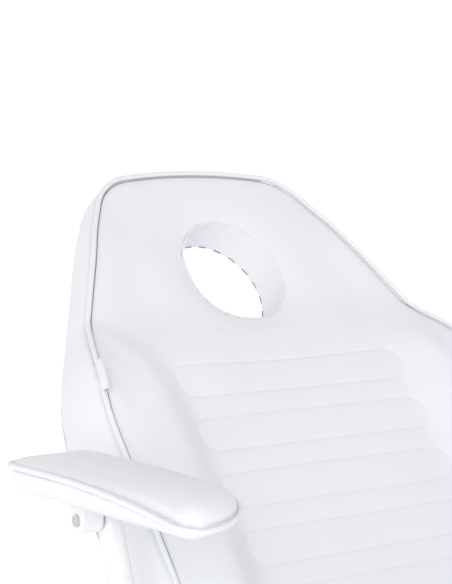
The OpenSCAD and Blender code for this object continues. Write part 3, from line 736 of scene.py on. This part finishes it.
def hem_cover(name, outline, low, turn, body, pitch=0.055):
    """The hem under a board, and its staples."""
    outer = np.float32(inset(outline, -0.001)).astype(float)
    band = hem_band(name + "_hem", outer, inset(outline, HEM_WIDTH), low - HEM_THICK * 0.6)
    place_piece(band, turn, vinyl, body)
    line = even_path(inset(outline, HEM_WIDTH * 0.62), pitch)
    along = np.roll(line, -1, 0) - np.roll(line, 1, 0)
    along /= np.linalg.norm(along, axis=1)[:, None]
    down = np.array([0, 0, -1.0])
    staple_row(name + "_staples", [
        (np.array([p[0], p[1], low - HEM_THICK]), np.array([a[0], a[1], 0]), down)
        for p, a in zip(line, along)
    ], turn, body)


back_flat = np.column_stack([back_outline[:, 0], crowned(back_outline[:, 0], back_outline[:, 1])])
hem_cover("back", back_flat, BOARD_LOW, BACK, "backrest")
place_piece(back, BACK, vinyl, "backrest")
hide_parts("back_cushion")


# ---- Loop tab ----------------------------------------------------------------------------
# A folded strip of vinyl sewn in at the top of the right bolster: a small loop that lies
# along the piping, leans towards the face and is open at both ends.
TAB_LOW = BACK_HEAD - 0.322
TAB_LONG = 0.040
TAB_HIGH = 0.0085
TAB_WIDE = 0.0075
TAB_LEAN = math.radians(20)
bpy.ops.object.select_all(action="DESELECT")
bpy.ops.mesh.primitive_circle_add(vertices=20, radius=1, fill_type="NOTHING")
tab = bpy.context.object
tab.name = "loop_tab_strip"
for vertex in tab.data.vertices:
    round_at = math.atan2(vertex.co.y, vertex.co.x)
    up = TAB_HIGH / 2 * (1 - math.cos(round_at))
    vertex.co = (TAB_WIDE / 2 * math.sin(round_at) * math.sqrt(up / TAB_HIGH), 0, up)
bpy.ops.object.mode_set(mode="EDIT")
bpy.ops.mesh.select_all(action="SELECT")
for _ in range(8):
    bpy.ops.mesh.extrude_region_move(TRANSFORM_OT_translate={"value": (0, TAB_LONG / 8, 0)})
bpy.ops.object.mode_set(mode="OBJECT")
apply_modifier(tab, "SOLIDIFY", thickness=0.0009, offset=0)
bpy.ops.object.mode_set(mode="EDIT")
bpy.ops.mesh.select_all(action="SELECT")
bpy.ops.mesh.normals_make_consistent(inside=False)
bpy.ops.object.mode_set(mode="OBJECT")
tab.data.transform(Matrix.Rotation(TAB_LEAN, 4, "Y"))
points = coords(tab)
left_seam = back_seam[(back_seam[:, 0] < 0) & (back_seam[:, 1] < BACK_HEAD - 0.2)]
left_seam = left_seam[np.argsort(left_seam[:, 1])]
tab_y = TAB_LOW + points[:, 1]
points[:, 0] += np.interp(tab_y, left_seam[:, 1], left_seam[:, 0]) - PIPING * 0.8
points[:, 2] += np.interp(tab_y, left_seam[:, 1], left_seam[:, 2]) + PIPING * 0.7
points[:, 1] = tab_y
set_coords(tab, points)
place_piece(tab, BACK, vinyl, "backrest")
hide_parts("loop_tab")


# ---- Seat cushion ------------------------------------------------------------------------
# The seat is the same foam, board and sewn cover, with the back's ribs carried on and a low
# roll along each side.
WORLD = Matrix.Identity(4)
seat_low, seat_high = flat_box("seat_board", WORLD)
SEAT_TOP = flat_box("seat_cushion", WORLD)[1][2]
SEAT_ROLL = 0.014
END_DROP = 0.006
PUFF_ROOM = 0.004
SEAT_THICK = SEAT_TOP - seat_low[2] - PUFF_ROOM
SEAT_RIBS = 6
seat_outline = even_path(round_off(
    [(seat_low[0], seat_low[1]), (seat_high[0], seat_low[1]),
     (seat_high[0], seat_high[1]), (seat_low[0], seat_high[1])],
    [0.040, 0.040, 0.045, 0.045],
), 0.004)


def seat_rise(x, y):
    ends = ease(y, seat_low[1], seat_low[1] + 0.05) * (1 - ease(y, seat_high[1] - 0.05, seat_high[1]))
    return SEAT_ROLL * ease(np.abs(x), 0.17, 0.25) * (0.3 + 0.7 * ends) - END_DROP * (1 - ends)


seat_ribs = [
    (seat_low[1] + seat_high[1]) / 2 + RIB_PITCH * (k - (SEAT_RIBS - 1) / 2) for k in range(SEAT_RIBS)
]
seat, seat_seam = upholster(
    "seat_cushion_cover", seat_outline, seat_low[2], SEAT_THICK, seat_rise,
    cross_ribs(seat_ribs, RIB_HALF, RIB_HIGH), 0.008,
)
pipe_and_sew(
    seat, "seat", seat_seam,
    [rib_outline(m, RIB_HALF, RIB_HIGH, seat_low[2] + SEAT_THICK) for m in seat_ribs],
    WORLD, "seat",
)
hem_cover("seat", seat_outline, seat_low[2], WORLD, "seat")
place_piece(seat, WORLD, vinyl, "seat")
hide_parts("seat_cushion")


# ---- Leg cushion -------------------------------------------------------------------------
# The leg rest narrows towards the feet. Its ribs and side rolls follow the seat's.
LEG = section_turn("legrest_tilt")
leg_low, leg_high = flat_box("leg_board", LEG)
LEG_TOP = flat_box("leg_cushion", LEG)[1][2]
LEG_THICK = LEG_TOP - leg_low[2] - PUFF_ROOM
FOOT_HALF = 0.230
LEG_RIBS = 6
leg_outline = even_path(round_off(
    [(-FOOT_HALF, leg_low[1]), (FOOT_HALF, leg_low[1]),
     (leg_high[0], leg_high[1]), (-leg_high[0], leg_high[1])],
    [0.070, 0.070, 0.040, 0.040],
), 0.004)


def leg_rise(x, y):
    edge = FOOT_HALF + (leg_high[0] - FOOT_HALF) * (y - leg_low[1]) / (leg_high[1] - leg_low[1])
    ends = ease(y, leg_low[1], leg_low[1] + 0.06) * (1 - ease(y, leg_high[1] - 0.05, leg_high[1]))
    roll = ease(np.abs(x), edge - 0.085, edge - 0.03)
    return SEAT_ROLL * roll * (0.2 + 0.8 * ends) - END_DROP * (1 - ends)


LEG_RIB_HALF = 0.140
leg_ribs = [
    (leg_low[1] + leg_high[1]) / 2 + RIB_PITCH * (k - (LEG_RIBS - 1) / 2) for k in range(LEG_RIBS)
]
leg, leg_seam = upholster(
    "leg_cushion_cover", leg_outline, leg_low[2], LEG_THICK, leg_rise,
    cross_ribs(leg_ribs, LEG_RIB_HALF, RIB_HIGH), 0.008,
)
pipe_and_sew(
    leg, "leg", leg_seam,
    [rib_outline(m, LEG_RIB_HALF, RIB_HIGH, leg_low[2] + LEG_THICK) for m in leg_ribs],
    LEG, "legrest",
)
hem_cover("leg", leg_outline, leg_low[2], LEG, "legrest")
place_piece(leg, LEG, vinyl, "legrest")
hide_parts("leg_cushion")


# ---- Arm pads ----------------------------------------------------------------------------
# Each arm pad is a long pillow of two panels with piping round its middle. Its top stays
# level from the rear, then falls away over the front end, and the piping dips with it.
ARM_VOXEL = 0.005
ARM_FINE_VOXEL = 0.0042
ARM_INNER_RADIUS = 0.088
ARM_OUTER_RADIUS = 0.022
ARM_REAR_RADIUS = 0.016
ARM_SEAM_DOWN = 0.0125
ARM_DIP = 0.40
ARM_DIP_FROM = 0.29
ARM_TOP_REACH = 0.052
ARM_LOW_REACH = 0.024
ARM_INNER_TRIM = 0.014
ARM_FRONT_OVER = 0.014
ARM_PUFF = 0.003
ARM_TOP_DOWN = 0.004


def arm_seam_height(y):
    return arm_high[2] - ARM_SEAM_DOWN - ARM_DIP * np.maximum(ARM_DIP_FROM - y, 0) ** 2


for side in ("left", "right"):
    arm_low, arm_high = flat_box("arm_pad_" + side, WORLD)
    arm_low[1] -= ARM_FRONT_OVER
    arm_left = arm_low[0] + (ARM_INNER_TRIM if side == "left" else 0)
    arm_right = arm_high[0] - (ARM_INNER_TRIM if side == "right" else 0)
    arm_outline = even_path(round_off(
        [(arm_left, arm_low[1]), (arm_right, arm_low[1]),
         (arm_right, arm_high[1]), (arm_left, arm_high[1])],
        [
            ARM_INNER_RADIUS if side == "left" else ARM_OUTER_RADIUS,
            ARM_OUTER_RADIUS if side == "left" else ARM_INNER_RADIUS,
            ARM_REAR_RADIUS, ARM_REAR_RADIUS,
        ],
    ), 0.004)
    pad = slab("arm_pad_cover_" + side, arm_outline, arm_low[2], arm_high[2])
    remesh(pad, ARM_VOXEL)
    points = coords(pad)
    middle = (arm_low[2] + arm_high[2]) / 2
    level = (points[:, 2] - middle) / ((arm_high[2] - arm_low[2]) / 2)
    ring = np.column_stack([arm_outline, np.zeros(len(arm_outline))])
    inward = distance_to(even_path(ring, 0.002), points * np.array([1, 1, 0]))
    top = np.sqrt(1 - (1 - np.clip(inward / ARM_TOP_REACH, 0, 1)) ** 2)
    under = np.sqrt(1 - (1 - np.clip(inward / ARM_LOW_REACH, 0, 1)) ** 2)
    seam_z = arm_seam_height(points[:, 1])
    rise = np.where(
        level > 0, (arm_high[2] - ARM_TOP_DOWN - seam_z) * top, (seam_z - arm_low[2] - 0.001) * under
    )
    points[:, 2] = seam_z + level * (0.002 + rise)
    set_coords(pad, points)
    remesh(pad, ARM_FINE_VOXEL)
    arm_seam = np.column_stack([arm_outline, arm_seam_height(arm_outline[:, 1])])
    points = coords(pad)
    rests = points[:, 2] < arm_low[2] + 0.0025
    stuff(pad, (distance_to(arm_seam, points) < HEM_HELD) | rests, np.full(len(points), ARM_PUFF))
    apply_modifier(pad, "SMOOTH", iterations=3, factor=0.5)
    apply_modifier(pad, "SUBSURF", levels=1, render_levels=1)
    points = coords(pad)
    off = distance_to(even_path(arm_seam, FINE_STEP), points)
    sunk = 0.0022 * bell(off - 0.0036, 0.0016) + 0.0008 * bell(off - 0.008, 0.0012)
    set_coords(pad, points - coords(pad, "normal") * sunk[:, None])
    piping = tube("arm_piping_" + side, np.column_stack(
        [inset(arm_outline, -0.0012), arm_seam[:, 2]]), PIPING)
    place_piece(piping, WORLD, vinyl, "armrest_" + side)
    place_piece(pad, WORLD, vinyl, "armrest_" + side)
    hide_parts("arm_pad_" + side)


# ---- Boards ------------------------------------------------------------------------------
# The boards are raw birch plywood, rotary cut and sanded but not sealed: a pale, dry face
# with long soft figure and short open pores.
FIGURE = 0.006


def finish_nodes(material, names):
    """Gives carried-over CAD nodes their material."""
    for name in names:
        nodes[name].data.materials.clear()
        nodes[name].data.materials.append(material)


birch, birch_shader, birch_place = new_material(
    "birch_plywood_raw", "D9BC8F", 0.62, IOR=1.5
)
stretch = add_node(
    birch, "ShaderNodeMapping", [(birch_place, "Vector")], Scale=(1.0, 0.09, 0.09)
)
figure = add_node(
    birch, "ShaderNodeTexNoise", [(stretch.outputs["Vector"], "Vector")],
    Scale=1 / FIGURE, Detail=6.0, Roughness=0.6, Distortion=0.4,
)
pores = add_node(
    birch, "ShaderNodeTexNoise", [(stretch.outputs["Vector"], "Vector")],
    Scale=8 / FIGURE, Detail=2.0,
)
grain_tone = add_node(birch, "ShaderNodeValToRGB", [(figure.outputs["Fac"], "Fac")])
grain_tone.color_ramp.elements[0].position = 0.32
grain_tone.color_ramp.elements[0].color = hex_colour("C7A472")
grain_tone.color_ramp.elements[1].position = 0.70
grain_tone.color_ramp.elements[1].color = hex_colour("E3CBA2")
wood_bump = add_node(
    birch, "ShaderNodeBump", [(pores.outputs["Fac"], "Height")], Strength=0.3, Distance=0.0002
)
wood_feel = add_node(
    birch, "ShaderNodeMapRange", [(figure.outputs["Fac"], "Value")], To_Min=0.52, To_Max=0.72
)
feed(birch, grain_tone.outputs["Color"], birch_shader, "Base Color")
feed(birch, wood_feel.outputs["Result"], birch_shader, "Roughness")
feed(birch, wood_bump.outputs["Normal"], birch_shader, "Normal")
finish_nodes(birch, ["back_board", "seat_board", "leg_board"])


# ---- Painted frame and column ------------------------------------------------------------
# Welded steel tube and plate with a white polyester powder coat, baked on: a closed gloss
# film with a fine orange peel, a little duller and greyer where dust and feet reach it.
ORANGE_PEEL = 0.003
SCUFF = 0.035


def coated_steel(name, light, dark, roughness, peel=ORANGE_PEEL):
    """Powder-coated steel whose colour drifts between two tones and whose film is wavy."""
    made, shader, place = new_material(name, light, roughness, IOR=1.5, Coat_Weight=0.35)
    shader.inputs["Coat Roughness"].default_value = 0.12
    waves = add_node(made, "ShaderNodeTexNoise", [(place, "Vector")], Scale=1 / peel, Detail=1.0)
    scuffs = add_node(
        made, "ShaderNodeTexNoise", [(place, "Vector")], Scale=1 / SCUFF, Detail=8.0, Roughness=0.7
    )
    worn = add_node(
        made, "ShaderNodeMapRange", [(scuffs.outputs["Fac"], "Value")], From_Min=0.45, From_Max=0.75
    )
    colour = add_node(made, "ShaderNodeMix", [(worn.outputs["Result"], "Factor")], data_type="RGBA")
    colour.inputs[6].default_value = hex_colour(light)
    colour.inputs[7].default_value = hex_colour(dark)
    dulled = add_node(
        made, "ShaderNodeMapRange", [(scuffs.outputs["Fac"], "Value")],
        To_Min=roughness - 0.06, To_Max=roughness + 0.12,
    )
    film = add_node(
        made, "ShaderNodeBump", [(waves.outputs["Fac"], "Height")], Strength=0.25, Distance=0.00015
    )
    feed(made, colour.outputs[2], shader, "Base Color")
    feed(made, dulled.outputs["Result"], shader, "Roughness")
    feed(made, film.outputs["Normal"], shader, "Normal")
    return made


white_powder = coated_steel("white_powder_coat", "DFE0E2", "D3D4D6", 0.32)
finish_nodes(white_powder, [
    "base_plate", "pump_body", "pedal_bracket", "swivel_hub", "top_plate", "seat_rail_left",
    "seat_rail_right", "seat_cross_rails", "seat_mount_rails", "back_hinge_lugs",
    "leg_hinge_lugs", "back_rail_left", "back_rail_right", "back_cross_rails", "leg_rail_left",
    "leg_rail_right", "leg_cross_rails", "back_spring_lug", "leg_spring_lug",
    "back_spring_bracket", "leg_spring_bracket", "arm_post_left", "arm_post_right",
    "arm_carrier_left", "arm_carrier_right",
])
black_gloss = coated_steel("black_gloss_paint", "17181A", "222326", 0.24)
finish_nodes(black_gloss, ["back_spring_tube", "leg_spring_tube"])


# ---- Chrome and zinc ---------------------------------------------------------------------
# Ground rods with hard chrome are mirror bright with the faintest turning marks. The pins,
# bolts and levers are zinc plated: a bluish, slightly cloudy bright metal.
TURNING = 0.0006
SPANGLE = 0.004

chrome, chrome_shader, chrome_place = new_material("hard_chrome", "C9CBCE", 0.1, Metallic=1.0)
turning = add_node(
    chrome, "ShaderNodeTexWave", [(chrome_place, "Vector")],
    bands_direction="Z", Scale=1 / (20 * TURNING), Distortion=0.6, Detail=2.0,
)
chrome_bump = add_node(
    chrome, "ShaderNodeBump", [(turning.outputs["Fac"], "Height")], Strength=0.04, Distance=0.00005
)
haze = add_node(
    chrome, "ShaderNodeTexNoise", [(chrome_place, "Vector")], Scale=45.0, Detail=4.0
)
chrome_feel = add_node(
    chrome, "ShaderNodeMapRange", [(haze.outputs["Fac"], "Value")], To_Min=0.06, To_Max=0.16
)
feed(chrome, chrome_bump.outputs["Normal"], chrome_shader, "Normal")
feed(chrome, chrome_feel.outputs["Result"], chrome_shader, "Roughness")
finish_nodes(chrome, ["ram", "pump_collar", "back_spring_rod", "leg_spring_rod", "arm_pins"])

zinc, zinc_shader, zinc_place = new_material("bright_zinc_plate", "BFC3C7", 0.3, Metallic=1.0)
cloud = add_node(
    zinc, "ShaderNodeTexVoronoi", [(zinc_place, "Vector")], Scale=1 / SPANGLE, Randomness=1.0
)
zinc_feel = add_node(
    zinc, "ShaderNodeMapRange", [(cloud.outputs["Distance"], "Value")], To_Min=0.24, To_Max=0.4
)
zinc_tone = add_node(zinc, "ShaderNodeMix", [(cloud.outputs["Distance"], "Factor")], data_type="RGBA")
zinc_tone.inputs[6].default_value = hex_colour("C6CACE")
zinc_tone.inputs[7].default_value = hex_colour("B2B5B8")
feed(zinc, zinc_feel.outputs["Result"], zinc_shader, "Roughness")
feed(zinc, zinc_tone.outputs[2], zinc_shader, "Base Color")
finish_nodes(zinc, [
    "pump_bolts", "pedal_pin", "pedal_arm", "top_plate_bolts", "lock_lever", "seat_screws",
    "back_hinge_pins", "leg_hinge_pins", "back_screws", "back_spring_pin", "leg_screws",
    "leg_spring_pin", "back_release_lever", "leg_release_lever",
])


# ---- Rubber and plastic ------------------------------------------------------------------
# The floor pad and the pedal's tread are moulded black rubber, matt with a dusty bloom. The
# knob and the two grips are moulded plastic with a fine spark-eroded texture.
SPARK = 0.0008
BLOOM = 0.02

rubber, rubber_shader, rubber_place = new_material("moulded_black_rubber", "1E1E1F", 0.75, IOR=1.52)
bloom = add_node(
    rubber, "ShaderNodeTexNoise", [(rubber_place, "Vector")], Scale=1 / BLOOM, Detail=6.0
)
rubber_tone = add_node(rubber, "ShaderNodeMix", [(bloom.outputs["Fac"], "Factor")], data_type="RGBA")
rubber_tone.inputs[6].default_value = hex_colour("19191A")
rubber_tone.inputs[7].default_value = hex_colour("2A2A2B")
rubber_bump = add_node(
    rubber, "ShaderNodeBump", [(bloom.outputs["Fac"], "Height")], Strength=0.2, Distance=0.0004
)
feed(rubber, rubber_tone.outputs[2], rubber_shader, "Base Color")
feed(rubber, rubber_bump.outputs["Normal"], rubber_shader, "Normal")
finish_nodes(rubber, ["base_foot_pad", "pedal_pad"])

plastic, plastic_shader, plastic_place = new_material("moulded_black_pp", "232426", 0.48, IOR=1.49)
sparks = add_node(
    plastic, "ShaderNodeTexNoise", [(plastic_place, "Vector")], Scale=1 / SPARK, Detail=2.0
)
plastic_bump = add_node(
    plastic, "ShaderNodeBump", [(sparks.outputs["Fac"], "Height")], Strength=0.3, Distance=0.0001
)
plastic_feel = add_node(
    plastic, "ShaderNodeMapRange", [(sparks.outputs["Fac"], "Value")], To_Min=0.4, To_Max=0.56
)
feed(plastic, plastic_bump.outputs["Normal"], plastic_shader, "Normal")
feed(plastic, plastic_feel.outputs["Result"], plastic_shader, "Roughness")
finish_nodes(plastic, ["lock_knob", "back_release_grip", "leg_release_grip"])
